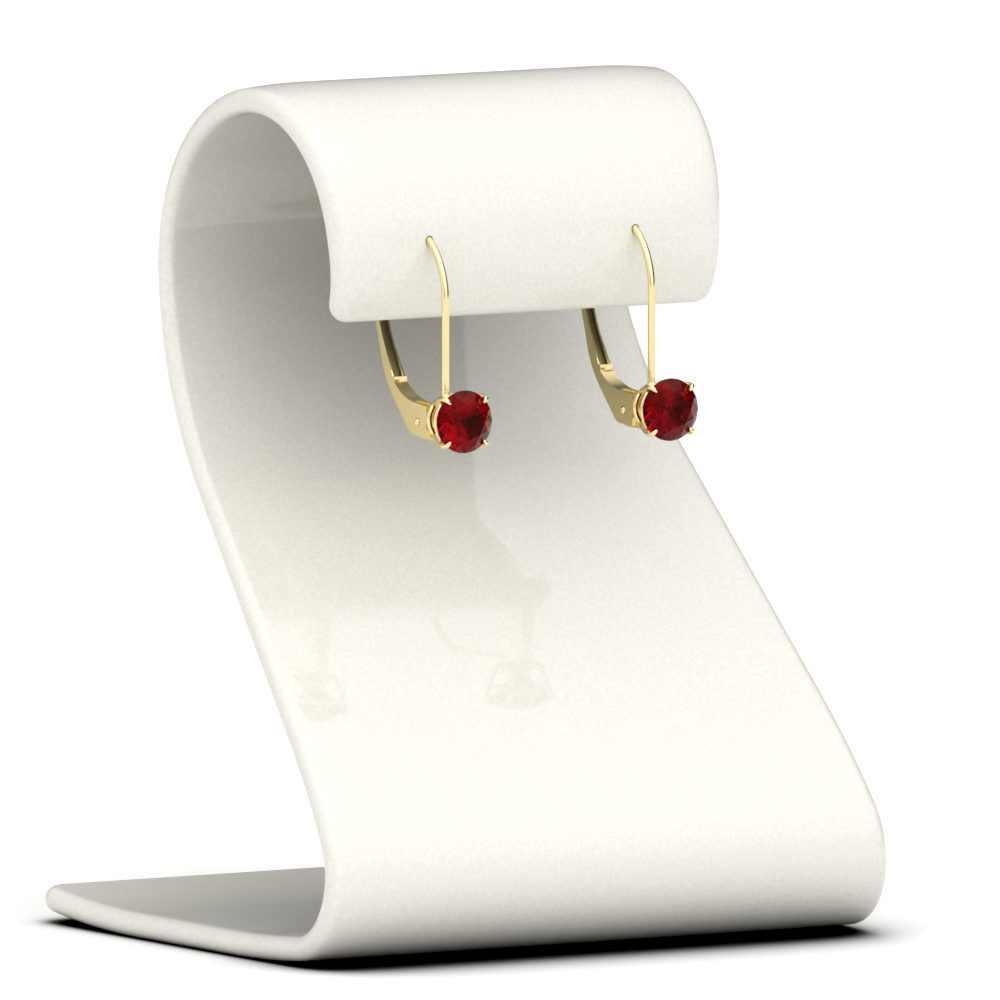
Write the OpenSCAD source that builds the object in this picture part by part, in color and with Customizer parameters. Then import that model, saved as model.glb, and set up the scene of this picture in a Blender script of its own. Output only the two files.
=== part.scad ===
// A pair of leverback earrings, each with one round stone, hung on a bent display stand.
// Millimetres. Z is up, the stones face -Y, X runs from the left earring to the right one.
// The origin is the middle of the stand's footprint, on the surface it rests on.

/* [Display stand] */
// Thickness of the bent sheet
sheet_t = 2; // [1.8:0.1:2.4]
// Width of the lip that the earrings hang on
lip_w = 34.5; // [30:0.1:40]
// Width of the tail
tail_w = 58; // [50:0.5:66]
// Radius of the corners at the lip, seen on the flat sheet
lip_corner_r = 1.6; // [1.3:0.1:3]
// Radius of the corners at the tail, seen on the flat sheet
tail_corner_r = 2; // [1.5:0.5:6]
// Slope of the lip at its free edge, in degrees from level
lip_slope = 120.8; // [100:0.1:125]
// Radius of the front of the roll, at the middle of the sheet
roll_front_r = 11.3; // [9.5:0.1:12]
// How far the sheet turns over the front of the roll
roll_front_turn = 114; // [100:0.5:120]
// Radius of the back of the roll, at the middle of the sheet
roll_back_r = 12.1; // [11:0.1:13.5]
// How far the sheet turns down the back of the roll
roll_back_turn = 112.8; // [100:0.1:118]
// Radius of the neck under the roll
neck_r = 36.3; // [28:0.1:45]
// How far the neck turns
neck_turn = 30; // [26:0.5:34]
// Length of the straight sloping panel
panel_len = 25.9; // [20:0.1:32]
// Radius where the panel starts to steepen
waist_r = 60.3; // [45:0.1:80]
// How far the panel steepens there
waist_turn = 9.6; // [5:0.2:12]
// Radius of the tight bend at the foot
bend_r = 5.5; // [4:0.1:7]
// Radius of the underside between the bend and the flat foot
heel_r = 99.5; // [60:0.5:150]
// How far the heel turns
heel_turn = 5.3; // [3:0.1:7]
// Length of the flat foot that the stand rests on
foot_len = 13.5; // [10:0.5:18]
// Radius of the rising tail
tail_r = 91.8; // [60:0.2:120]
// How far the tail rises
tail_turn = 8.9; // [5:0.1:12]

/* [Earring places] */
// Distance between the middles of the two earrings
pair_gap = 18.8; // [14:0.2:22]
// Distance along the sheet from the lip's edge to the wire holes
hole_up = 7; // [6:0.1:9]
// How far before its top the wire passes the middle of the sheet, in degrees of its crook
hole_turn = 19; // [10:1:25]
// Room round the wire in its hole
hole_room = 0.06; // [0.05:0.01:0.15]

/* [Ear wire] */
// Diameter of the ear wire
wire_d = 0.6; // [0.56:0.02:0.7]
// How far the wire stands behind the middle of the rear rail
wire_behind = 0.5; // [0.42:0.02:0.56]
// Height of the middle of the crook above the stone
crook_z = 9.3; // [8.6:0.1:10.4]
// Radius of the crook, at the middle of the wire
crook_r = 5.4; // [5.2:0.1:5.8]
// Depth of the flat filed on the front of the straight wire
flat_d = 0.08; // [0.04:0.01:0.12]
// Diameter of the wire's rounded tip
tip_d = 0.44; // [0.36:0.02:0.5]
// Straight length of the tip below the crook
tip_len = 0.55; // [0.4:0.05:0.9]

/* [Stone] */
// Diameter of the stone
stone_d = 5; // [4.6:0.1:5.6]
// Thickness of the stone's girdle
girdle_t = 0.15; // [0.1:0.01:0.25]
// Width of the stone's table, corner to corner
table_d = 2.86; // [2.5:0.02:3.2]
// Height of the crown
crown_h = 0.75; // [0.6:0.05:0.9]
// Depth of the pavilion
pavilion_h = 2.15; // [2:0.05:2.3]

/* [Setting] */
// Diameter of the two rails round the stone
rail_d = 0.46; // [0.36:0.02:0.5]
// How far the front rail lies behind the stone's girdle
front_rail_y = 0.74; // [0.6:0.02:0.9]
// Radius of the rear rail
rear_rail_r = 1.75; // [1.6:0.05:1.9]
// How far the rear rail lies behind the point of the stone
rear_rail_gap = 0.32; // [0.3:0.02:0.5]
// Width of a claw
claw_w = 0.62; // [0.5:0.02:0.8]
// How far a claw stands outside the stone
claw_out = 0.3; // [0.22:0.02:0.4]
// How far a claw's tip reaches over the stone
claw_reach = 0.42; // [0.3:0.02:0.55]
// Thickness of a claw's tip
claw_tip_t = 0.3; // [0.2:0.02:0.36]
// Room between the stone and the metal, across the setting
seat_gap = 0.06; // [0.04:0.01:0.1]
// Thickness of the hinge lug
lug_t = 0.5; // [0.4:0.02:0.56]
// Radius of the hinge lug round its pin
lug_r = 1.35; // [1.2:0.05:1.4]

/* [Lever] */
// How far the hinge pin lies behind the wire
pivot_back = 3.45; // [3.2:0.05:3.8]
// How far the hinge pin lies below the middle of the stone
pivot_drop = 0.6; // [0.4:0.05:0.8]
// Width of the lever at its cheeks
cheek_w = 1.32; // [1.2:0.02:1.6]
// Width of the lever at its top
lever_top_w = 0.92; // [0.86:0.02:1]
// Room each side of the lug between the cheeks
fork_gap = 0.04; // [0.03:0.01:0.06]
// Distance from the pin to the front edge of the cheeks
cheek_front = 1.5; // [1.3:0.05:1.7]
// Distance from the pin down to the lever's lower edge
cheek_low = 1.1; // [1:0.02:1.2]
// Distance from the pin up to the lever's upper edge at its front
cheek_high = 1.4; // [1.3:0.02:1.5]
// Height of the upright bar across the lever at the foot of its channel
bar_h = 0.44; // [0.3:0.02:0.5]
// Depth of the channel along the lever
channel_d = 0.34; // [0.28:0.02:0.4]
// Thickness of the channel's side walls at the top
channel_wall = 0.15; // [0.14:0.01:0.2]
// Thickness of the lever's back behind the channel at the top
channel_floor = 0.24; // [0.18:0.02:0.3]
// Room between the closed lever and the wire's tip
close_gap = 0.05; // [0.04:0.01:0.1]
// Diameter of the hinge pin
pin_d = 0.5; // [0.4:0.02:0.56]
// Room between the pin and the lug's bore
pin_fit = 0.02; // [0.01:0.005:0.04]
// Room between the pin and the bores of the cheeks
pin_run = 0.03; // [0.02:0.005:0.06]
// Diameter of the pin's domed heads
pin_head_d = 0.66; // [0.62:0.02:0.8]
// Height of the pin's domed heads
pin_head_h = 0.2; // [0.12:0.02:0.26]
// Room between a pin head and the cheek
head_gap = 0.03; // [0.02:0.01:0.06]

/* [Hidden] */
stand_color = "ivory";
gold_color = [0.86, 0.72, 0.38];
stone_color = [0.55, 0.02, 0.05];
// Sides used for round metal
$fn = 48;
// Amount by which a cut runs past the face it opens
past = 0.5;

// Bent lines are tables of stretches: a radius and a turn in degrees, left turns positive,
// or a radius of zero and a length for a straight stretch.
function stretch_len(row) = row[0] == 0 ? row[1] : row[0] * abs(row[1]) * PI / 180;
// A spot on a bent line is its distance, its two coordinates and its heading.
function move_on(spot, row, d) =
    let (
        r = row[1] < 0 ? -row[0] : row[0],
        h = spot[3],
        h2 = row[0] == 0 ? h : h + d / r * 180 / PI
    )
    row[0] == 0
        ? [spot[0] + d, spot[1] + d * cos(h), spot[2] + d * sin(h), h]
        : [spot[0] + d, spot[1] + r * (sin(h2) - sin(h)), spot[2] - r * (cos(h2) - cos(h)), h2];
// The spots where the stretches begin, and the end of the last one
function joints_of(rows, from) = [
    for (i = 0, spot = from; i <= len(rows);
        spot = i < len(rows) ? move_on(spot, rows[i], stretch_len(rows[i])) : spot, i = i + 1) spot
];
// The spot at one distance along a bent line
function spot_at(rows, ends, s) =
    let (i = max([for (k = [0 : len(rows) - 1]) if (k == 0 || ends[k][0] <= s) k]))
    move_on(ends[i], rows[i], s - ends[i][0]);
// Distances along a bent line that follow its curves, with a point every few degrees
function stations(rows, ends, step) = [
    for (i = [0 : len(rows) - 1])
    let (n = rows[i][0] == 0 ? 1 : max(2, ceil(abs(rows[i][1]) / step)))
    for (k = [0 : n - 1]) ends[i][0] + (ends[i + 1][0] - ends[i][0]) * k / n
];
function trace(rows, from, step) =
    let (ends = joints_of(rows, from), far = ends[len(rows)])
    concat([for (s = stations(rows, ends, step)) spot_at(rows, ends, s)], [far]);

// The stand's sheet, from the lip's edge to the tail
bend_turn = roll_front_turn + roll_back_turn + neck_turn - lip_slope - waist_turn - heel_turn;
sheet_rows = [
    [roll_front_r, -roll_front_turn],
    [roll_back_r, -roll_back_turn],
    [neck_r, -neck_turn],
    [0, panel_len],
    [waist_r, waist_turn],
    [bend_r, bend_turn],
    [heel_r, heel_turn],
    [0, foot_len],
    [tail_r, tail_turn]
];
foot_row = 7;
half_t = sheet_t / 2;
free_ends = joints_of(sheet_rows, [0, 0, 0, lip_slope]);
free_spots = trace(sheet_rows, [0, 0, 0, lip_slope], 5);
// The front of the bend is the stand's front, and the tail's end or the back of the roll is its back.
free_y = [for (p = free_spots) p[1]];
roll_back_y = max([for (p = free_spots) if (p[0] < free_ends[3][0]) p[1]]) + half_t;
free_back_y = max(roll_back_y, free_ends[len(sheet_rows)][1]);
sheet_y = -(min(free_y) - half_t + free_back_y) / 2;
sheet_z = half_t - free_ends[foot_row][2];
sheet_from = [0, sheet_y, sheet_z, lip_slope];
sheet_ends = joints_of(sheet_rows, sheet_from);
sheet_len = sheet_ends[len(sheet_rows)][0];
function sheet_spot(s) = spot_at(sheet_rows, sheet_ends, s);
function half_w(s) = (lip_w + (tail_w - lip_w) * s / sheet_len) / 2;

// The edge of the flat sheet on its right side: across, along, and the way out of the edge.
// The round corners meet the slanting side at its own angle.
taper = atan((tail_w - lip_w) / 2 / sheet_len);
function corner(r, mid_s, a) =
    let (mid_x = half_w(mid_s) - r / cos(taper))
    [mid_x + r * cos(a), mid_s + r * sin(a), cos(a), sin(a)];
lip_edge = [
    for (k = [0 : 4]) corner(lip_corner_r, lip_corner_r, -90 + (90 - taper) * k / 4)
];
side_edge = [
    for (s = stations(sheet_rows, sheet_ends, 5))
    if (s > lip_corner_r + 0.2 && s < sheet_len - tail_corner_r - 0.2)
    [half_w(s), s, cos(taper), -sin(taper)]
];
tail_edge = [
    for (k = [0 : 8]) corner(tail_corner_r, sheet_len - tail_corner_r, -taper + (90 + taper) * k / 8)
];
edge = concat(lip_edge, side_edge, tail_edge);
// Angles round the sheet's rounded rim, from its outer face to its inner face
rim = [for (a = [-90 : 22.5 : 90]) a];
// One point of the rim: in from the edge by the round, and up from the middle of the sheet
function rim_point(e, a, side) =
    let (
        inset = half_t * (1 - cos(a)),
        spot = sheet_spot(e[1] - e[3] * inset),
        up = half_t * sin(a)
    )
    [side * (e[0] - e[2] * inset), spot[1] - up * sin(spot[3]), spot[2] + up * cos(spot[3])];

module bent_sheet() {
    m = len(edge);
    k = len(rim);
    n = 2 * m;
    columns = concat([for (e = edge) [e, 1]], [for (i = [m - 1 : -1 : 0]) [edge[i], -1]]);
    points = [for (c = columns) for (a = rim) rim_point(c[0], a, c[1])];
    rim_faces = [
        for (c = [0 : n - 1]) for (j = [0 : k - 2])
        let (p = c * k + j, q = ((c + 1) % n) * k + j)
        each [[p, p + 1, q + 1], [p, q + 1, q]]
    ];
    // Flat strips join the two sides across the sheet, on both of its faces.
    face_strips = [
        for (i = [0 : m - 2])
        let (r1 = i * k, r2 = (i + 1) * k, l1 = (n - 1 - i) * k, l2 = (n - 2 - i) * k)
        each [[r1, r2, l2, l1], [l1 + k - 1, l2 + k - 1, r2 + k - 1, r1 + k - 1]]
    ];
    polyhedron(points, concat(rim_faces, face_strips), convexity = 6);
}

// Places of the earrings. Each earring's own frame has its zero at the middle of the stone's
// girdle, with Y to the back and Z up.
rear_rail_y = girdle_t / 2 + pavilion_h + rear_rail_gap;
wire_y = rear_rail_y + wire_behind;
crook_y = wire_y + crook_r;
hole_spot = sheet_spot(hole_up);
earring_y = hole_spot[1] - (crook_y - crook_r * sin(hole_turn));
earring_z = hole_spot[2] - (crook_z + crook_r * cos(hole_turn));
left_x = -pair_gap / 2;
right_x = pair_gap / 2;
module at_earring(x) { translate([x, earring_y, earring_z]) children(); }

// A flat shape drawn in Y and Z, given a thickness across X
module across(w) {
    rotate([90, 0, 90]) translate([0, 0, -w / 2]) linear_extrude(w) children();
}

// The round ear wire from its foot to the end of its crook, made fat by a clearance
module crook(extra) {
    translate([0, crook_y, crook_z]) rotate([90, 0, 90]) rotate_extrude(angle = 180)
        translate([crook_r, 0]) circle(d = wire_d + 2 * extra);
}

module stand() {
    color(stand_color) difference() {
        bent_sheet();
        at_earring(left_x) crook(hole_room);
        at_earring(right_x) crook(hole_room);
    }
}

// The stone: a round brilliant, its table towards -Y
stone_r = stone_d / 2;
table_r = table_d / 2;
// Radii of the points of the star facets and of the lower halves, as shares of the girdle's radius
star_share = 0.79;
lower_share = 0.24;
crown_slope = crown_h / (stone_r - table_r);
function crown_y(r) = -girdle_t / 2 - (stone_r - r) * crown_slope;
function ring(r, first, y) = [for (i = [0 : 7]) let (a = first + 45 * i) [r * sin(a), y, r * cos(a)]];
function girdle_ring(y) = [for (i = [0 : 15]) [stone_r * sin(22.5 * i), y, stone_r * cos(22.5 * i)]];
module brilliant() {
    star_r = stone_r * star_share;
    lower_r = stone_r * lower_share;
    point_y = girdle_t / 2 + pavilion_h;
    lower_y = point_y - pavilion_h * lower_r * cos(22.5) / stone_r;
    points = concat(
        ring(table_r, 0, crown_y(table_r)),
        ring(star_r, 22.5, crown_y(star_r * cos(22.5))),
        girdle_ring(-girdle_t / 2),
        girdle_ring(girdle_t / 2),
        ring(lower_r, 22.5, lower_y),
        [[0, point_y, 0]]
    );
    table_face = [[for (i = [7 : -1 : 0]) i]];
    crown_faces = [
        for (i = [0 : 7])
        let (j = (i + 1) % 8, s = 8 + i, before = 8 + (i + 7) % 8, g = 16 + 2 * i, g1 = g + 1,
            g2 = 16 + (2 * i + 2) % 16)
        each [[i, j, s], [i, s, g, before], [s, g1, g], [s, g2, g1]]
    ];
    girdle_faces = [
        for (i = [0 : 15])
        let (a = 16 + i, b = 16 + (i + 1) % 16)
        [a, b, b + 16, a + 16]
    ];
    pavilion_faces = [
        for (i = [0 : 7])
        let (g = 32 + 2 * i, g1 = g + 1, g2 = 32 + (2 * i + 2) % 16, l = 48 + i,
            before = 48 + (i + 7) % 8)
        each [[g, l, 56, before], [g, g1, l], [g1, g2, l]]
    ];
    polyhedron(points, concat(table_face, crown_faces, girdle_faces, pavilion_faces), convexity = 2);
}

module stone(x) { color(stone_color) at_earring(x) brilliant(); }

// The room that the stone takes out of the setting, a plain double cone round its facets
module stone_room() {
    room_r = stone_r + seat_gap;
    top = table_r + seat_gap;
    rotate([-90, 0, 0]) {
        translate([0, 0, -girdle_t / 2]) cylinder(r = room_r, h = girdle_t);
        translate([0, 0, girdle_t / 2]) cylinder(r1 = room_r, r2 = 0, h = pavilion_h * room_r / stone_r);
        translate([0, 0, crown_y(table_r)]) cylinder(r1 = top, r2 = room_r, h = crown_h);
    }
}

// A band turned round the stone's axis, drawn as radius and depth
module turned() { rotate([-90, 0, 0]) rotate_extrude() children(); }

// Outline of a claw, from the rear rail past the girdle to the tip over the crown
rail_r = rail_d / 2;
claw_outline = [
    [rear_rail_r - rail_r * 0.7, rear_rail_y + rail_r * 0.8],
    [rear_rail_r + rail_r * 0.9, rear_rail_y + rail_r * 0.8],
    [stone_r + claw_out * 0.45, front_rail_y],
    [stone_r + claw_out, 0],
    [stone_r + claw_out * 0.85, crown_y(stone_r) - claw_tip_t * 0.7],
    [stone_r + claw_out * 0.2, crown_y(stone_r) - claw_tip_t],
    [stone_r - claw_reach, crown_y(stone_r - claw_reach) - claw_tip_t * 0.55],
    [stone_r - claw_reach, 0],
    [stone_r - claw_reach, front_rail_y]
];
claw_at = [45, 135, 225, 315];
module claws() {
    difference() {
        intersection() {
            turned() polygon(claw_outline);
            for (a = claw_at) rotate([0, a, 0]) {
                // The shank keeps its width, and the tip narrows to a point.
                translate([-claw_w / 2, 0, 0]) cube([claw_w, rear_rail_y + rail_d, stone_r + 1]);
                rotate([90, 0, 0]) linear_extrude(crown_h + 1) polygon([
                    [-claw_w / 2, stone_r + 1],
                    [-claw_w / 2, stone_r - claw_reach * 0.3],
                    [0, stone_r - claw_reach],
                    [claw_w / 2, stone_r - claw_reach * 0.3],
                    [claw_w / 2, stone_r + 1]
                ]);
            }
        }
        stone_room();
    }
}

// Radius of the front rail, which clears the pavilion by the seat gap
pavilion_side = sqrt(pow(stone_r, 2) + pow(pavilion_h, 2)) / pavilion_h;
front_rail_r = stone_r * (1 - (front_rail_y - girdle_t / 2) / pavilion_h)
    + (rail_r + seat_gap) * pavilion_side;
module rails() {
    turned() translate([front_rail_r, front_rail_y]) circle(r = rail_r);
    turned() translate([rear_rail_r, rear_rail_y]) circle(r = rail_r);
}

// Hinge pin's place and the lug that carries it, with a bar across the back of the rear rail
pivot_y = wire_y + pivot_back;
pivot_z = -pivot_drop;
bar_y = rear_rail_y - rail_r * 0.5;
wire_foot = rear_rail_r + rail_r * 0.5;
module lug() {
    difference() {
        across(lug_t) {
            translate([pivot_y, pivot_z]) circle(r = lug_r);
            polygon([
                [bar_y, wire_foot],
                [wire_y + wire_d / 2, wire_foot],
                [wire_y + wire_d, lug_r * 0.8],
                [pivot_y, pivot_z + lug_r],
                [pivot_y, pivot_z - lug_r],
                [bar_y + rail_r, pivot_z - lug_r],
                [bar_y, -rear_rail_r]
            ]);
        }
        pin_bore(pin_fit);
    }
}
module pin_bore(extra) {
    translate([0, pivot_y, pivot_z]) rotate([0, 90, 0])
        cylinder(d = pin_d + 2 * extra, h = 2 * cheek_w, center = true);
}

module ear_hook(x) {
    color(gold_color) at_earring(x) {
        claws();
        rails();
        lug();
        crook(0);
        // The straight wire has a flat front.
        difference() {
            translate([0, wire_y, wire_foot - rail_r]) cylinder(d = wire_d, h = crook_z - wire_foot + rail_r);
            translate([-wire_d, wire_y - wire_d / 2 - past, wire_foot + rail_r])
                cube([2 * wire_d, past + flat_d, crook_z - wire_foot - rail_r]);
        }
        translate([0, tip_y, crook_z - tip_len]) {
            cylinder(d1 = tip_d, d2 = wire_d, h = tip_len);
            sphere(d = tip_d);
        }
    }
}

// The lever's outline, from the front of its cheeks up to its top behind the wire's tip
tip_y = crook_y + crook_r;
// How far the lever's top lies below the middle of the crook
top_under = 0.2;
lever_top_z = crook_z - top_under;
// The lower edge runs level past the pin, turns up, runs straight and then bows to the top.
low_past_pin = 0.4;
low_corner = [1.6, 43.5];
low_slant = 3.85;
low_bow = [8, 25];
// The upper edge of the cheeks runs past the pin at a small rise and turns up to the step.
high_past_pin = 0.5;
high_rise = 4;
high_corner = [6.2, 34];
// Above the step the rims of the channel run straight and then bow to the top.
rim_rise = 57;
rim_slant = 2.9;
rim_bow = [12, 13];
line_step = 3;
low_rows = [[0, cheek_front + low_past_pin], low_corner, [0, low_slant], low_bow];
high_rows = [[0, cheek_front + high_past_pin], high_corner];
rim_rows = [[0, rim_slant], rim_bow];
low_line = trace(low_rows, [0, pivot_y - cheek_front, pivot_z - cheek_low, 0], line_step);
high_line = trace(high_rows, [0, pivot_y - cheek_front, pivot_z + cheek_high, high_rise], line_step);
step_spot = high_line[len(high_line) - 1];
rim_line = trace(rim_rows, [0, step_spot[1], step_spot[2], rim_rise], line_step);
// The top of the lever leans back a little, so level distances across it are slightly longer.
lean = 1.06;
rim_top_y = tip_y + tip_d / 2 + close_gap - channel_d * lean;
back_top_y = rim_top_y + (channel_d + channel_floor) * lean;
// The height at which the wire's tip is closest to the channel's floor
touch_z = crook_z - tip_len;
// How far the top leans back for each millimetre of height
rim_lean = 0.33;
rim_top = [rim_top_y + (lever_top_z - touch_z) * rim_lean, lever_top_z];
back_top = [back_top_y + (lever_top_z - touch_z) * rim_lean, lever_top_z];
function flat(line) = [for (p = line) [p[1], p[2]]];
function flat_back(line) = [for (i = [len(line) - 1 : -1 : 0]) [line[i][1], line[i][2]]];
// The bar stands upright at the step, in front of the rims.
bar_top = spot_at(rim_rows, joints_of(rim_rows, rim_line[0]), bar_h / sin(rim_rise));
bar_corners = [[bar_top[1], bar_top[2]], [step_spot[1], bar_top[2]]];
rims_above_bar = [for (p = rim_line) if (p[0] > bar_top[0]) p];
module lever_outline() {
    polygon(concat(
        flat(low_line), [back_top, rim_top], flat_back(rims_above_bar), bar_corners, flat_back(high_line)
    ));
}

// The channel starts behind the bar.
function deep(p, d) = [p[1] + d * sin(p[3]), p[2] - d * cos(p[3])];
channel_line = [for (p = rim_line) if (p[0] > bar_top[0] + channel_d / 2) deep(p, channel_d)];
module channel_outline() {
    polygon(concat(
        [[bar_top[1], bar_top[2]], deep(bar_top, channel_d)],
        channel_line,
        [[rim_top[0] + channel_d * lean, lever_top_z], [rim_top[0] + channel_d * lean, lever_top_z + past]],
        [[rim_top[0] - past, lever_top_z + past], [bar_top[1] - past, bar_top[2] + past * 0.2]]
    ));
}

// The lever's width, from the front: straight at the cheeks, then narrowing to the top
taper_from = pivot_z + cheek_high;
taper_len = 2.7;
taper_to = step_spot[2] + taper_len;
module lever_front() {
    w = cheek_w / 2;
    t = lever_top_w / 2;
    rotate([90, 0, 0]) translate([0, 0, -tip_y - 2]) linear_extrude(tip_y + 2) polygon([
        [-w, pivot_z - cheek_low - past], [w, pivot_z - cheek_low - past], [w, taper_from],
        [t, taper_to], [t, lever_top_z + past], [-t, lever_top_z + past], [-t, taper_to], [-w, taper_from]
    ]);
}

// Room in the fork beyond the lug's round end, and how far the fork is open behind the pin
fork_end_gap = 0.1;
fork_back = 0.88;
fork_room_r = lug_r + fork_end_gap;
module lever(x) {
    color(gold_color) at_earring(x) difference() {
        intersection() {
            across(2 * cheek_w) lever_outline();
            lever_front();
        }
        across(lever_top_w - 2 * channel_wall) channel_outline();
        // The fork between the cheeks goes round the lug.
        across(lug_t + 2 * fork_gap) {
            translate([pivot_y, pivot_z]) circle(r = fork_room_r);
            translate([pivot_y - cheek_front - past, pivot_z])
                square([cheek_front + past + fork_back, cheek_high + past]);
            translate([pivot_y - cheek_front - past, pivot_z - cheek_low - past])
                square([cheek_front + past, cheek_low + cheek_high + past]);
        }
        pin_bore(pin_run);
    }
}

// Hinge pin with a domed head at each end
head_ball_r = (pow(pin_head_d / 2, 2) + pow(pin_head_h, 2)) / (2 * pin_head_h);
module hinge_pin(x) {
    head_x = cheek_w / 2 + head_gap;
    color(gold_color) at_earring(x) translate([0, pivot_y, pivot_z]) {
        rotate([0, 90, 0]) cylinder(d = pin_d, h = 2 * head_x + pin_head_h, center = true);
        for (side = [-1, 1]) rotate([0, side * 90, 0]) translate([0, 0, head_x]) intersection() {
            translate([0, 0, pin_head_h - head_ball_r]) sphere(r = head_ball_r);
            cylinder(d = pin_head_d + past, h = pin_head_h + past);
        }
    }
}

stand();
ear_hook(left_x);  // left_ear_hook
stone(left_x);  // left_stone
lever(left_x);  // left_lever
hinge_pin(left_x);  // left_hinge_pin
ear_hook(right_x);  // right_ear_hook
stone(right_x);  // right_stone
lever(right_x);  // right_lever
hinge_pin(right_x);  // right_hinge_pin
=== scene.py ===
# Two leverback earrings hung on a bent white display stand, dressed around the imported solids.
import math

import bmesh
import bpy
from mathutils import Matrix, Vector


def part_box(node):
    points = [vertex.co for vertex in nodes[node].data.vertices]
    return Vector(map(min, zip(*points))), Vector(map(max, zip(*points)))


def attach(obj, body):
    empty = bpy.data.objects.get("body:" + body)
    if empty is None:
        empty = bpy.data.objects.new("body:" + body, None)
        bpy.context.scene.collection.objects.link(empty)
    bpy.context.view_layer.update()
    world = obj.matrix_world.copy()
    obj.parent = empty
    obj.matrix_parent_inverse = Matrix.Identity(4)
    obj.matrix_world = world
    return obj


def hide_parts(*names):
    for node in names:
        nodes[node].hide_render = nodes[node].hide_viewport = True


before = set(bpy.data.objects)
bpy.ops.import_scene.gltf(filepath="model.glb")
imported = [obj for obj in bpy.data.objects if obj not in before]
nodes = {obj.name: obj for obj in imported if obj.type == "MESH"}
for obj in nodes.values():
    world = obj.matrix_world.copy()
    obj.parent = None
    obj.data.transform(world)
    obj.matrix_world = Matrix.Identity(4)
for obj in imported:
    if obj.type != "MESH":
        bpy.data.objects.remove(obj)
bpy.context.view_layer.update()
mm = 0.001
weldReach = 0.0004 * mm
rootBody = "stand_with_earrings"
sides = {"left": "left_lever", "right": "right_lever"}  # each earring and its lever's body
print("frame loaded")


# Small helpers for numbers and meshes
def evenly(start, end, steps):
    return [start + (end - start) * k / steps for k in range(steps + 1)]


def newObject(name, data):
    obj = bpy.data.objects.new(name, data)
    bpy.context.scene.collection.objects.link(obj)
    return obj


def removeObject(obj):
    bpy.data.objects.remove(obj, do_unlink=True)


def meshFrom(name, points, faces):
    mesh = bpy.data.meshes.new(name)
    mesh.from_pydata([Vector(p) * mm for p in points], [], faces)
    mesh.update()
    return newObject(name, mesh)


def outward(obj, merge=True):
    # Pieces that are already joined aren't merged again, because they pass through each other.
    bm = bmesh.new()
    bm.from_mesh(obj.data)
    if merge:
        bmesh.ops.remove_doubles(bm, verts=bm.verts, dist=weldReach)
    bmesh.ops.recalc_face_normals(bm, faces=bm.faces)
    bm.to_mesh(obj.data)
    bm.free()


def evaluatedMesh(obj):
    bpy.context.view_layer.update()
    graph = bpy.context.evaluated_depsgraph_get()
    return bpy.data.meshes.new_from_object(obj.evaluated_get(graph), depsgraph=graph)


def plainMesh(obj):
    # The modifiers' result becomes the piece's own mesh.
    mesh = evaluatedMesh(obj)
    obj.modifiers.clear()
    obj.data = mesh
    return obj


def easeEdges(obj, look, harden):
    ease = obj.modifiers.new("ease", "BEVEL")
    ease.width = look["edge"] * mm
    ease.segments = look["edgeSteps"]
    ease.limit_method = "ANGLE"
    ease.angle_limit = math.radians(look["edgeAngle"])
    ease.harden_normals = harden
    return plainMesh(obj)


def smoothShade(obj, angle):
    for p in obj.data.polygons:
        p.use_smooth = True
    obj.data.set_sharp_from_angle(angle=math.radians(angle))


def polyPath(name, points, closed=False):
    # Points are y, z and a radius, in the plane X = 0.
    curve = bpy.data.curves.new(name, "CURVE")
    curve.dimensions = "3D"
    spline = curve.splines.new("POLY")
    spline.points.add(len(points) - 1)
    spline.use_cyclic_u = closed
    for slot, (y, z, r) in zip(spline.points, points):
        slot.co = (0, y * mm, z * mm, 1)
        slot.radius = r * mm
    return newObject(name, curve)


# Helpers for node trees
def feed(tree, socket, value):
    # Another node's output is linked, and anything else is the socket's own value.
    if isinstance(value, bpy.types.NodeSocket):
        tree.links.new(value, socket)
    else:
        socket.default_value = value


def mathNode(tree, operation, a, b):
    node = tree.nodes.new("ShaderNodeMath")
    node.operation = operation
    feed(tree, node.inputs[0], a)
    feed(tree, node.inputs[1], b)
    return node.outputs[0]


def mixNode(tree, kind, factor, a, b):
    # A Mix node keeps sockets for every kind: its numbers come first and its colours last.
    first, result = {"FLOAT": (2, 0), "RGBA": (6, 2)}[kind]
    node = tree.nodes.new("ShaderNodeMix")
    node.data_type = kind
    feed(tree, node.inputs["Factor"], factor)
    feed(tree, node.inputs[first], a)
    feed(tree, node.inputs[first + 1], b)
    return node.outputs[result]


def rangeNode(tree, value, span, low=0.0, high=1.0, curve="SMOOTHSTEP"):
    # Goes from low to high as the value passes through the span
    node = tree.nodes.new("ShaderNodeMapRange")
    node.interpolation_type = curve
    feed(tree, node.inputs["Value"], value)
    feed(tree, node.inputs["From Min"], span[0])
    feed(tree, node.inputs["From Max"], span[1])
    feed(tree, node.inputs["To Min"], low)
    feed(tree, node.inputs["To Max"], high)
    return node.outputs["Result"]


def noiseNode(tree, scale, detail):
    node = tree.nodes.new("ShaderNodeTexNoise")
    coords = tree.nodes.new("ShaderNodeTexCoord")
    feed(tree, node.inputs["Vector"], coords.outputs["Object"])
    feed(tree, node.inputs["Scale"], scale)
    feed(tree, node.inputs["Detail"], detail)
    return node.outputs["Fac"]


def newGroup(name, inputs, output):
    group = bpy.data.node_groups.new(name, "ShaderNodeTree")
    for label, value in inputs.items():
        socket = group.interface.new_socket(label, in_out="INPUT", socket_type="NodeSocketFloat")
        socket.default_value = value
    label, kind = output
    group.interface.new_socket(label, in_out="OUTPUT", socket_type=kind)
    ins, outs = group.nodes.new("NodeGroupInput"), group.nodes.new("NodeGroupOutput")
    return group, ins.outputs, outs.inputs


def placeGroup(tree, group, **values):
    node = tree.nodes.new("ShaderNodeGroup")
    node.node_tree = group
    for label, value in values.items():
        node.inputs[label.replace("_", " ")].default_value = value
    return node


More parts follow.
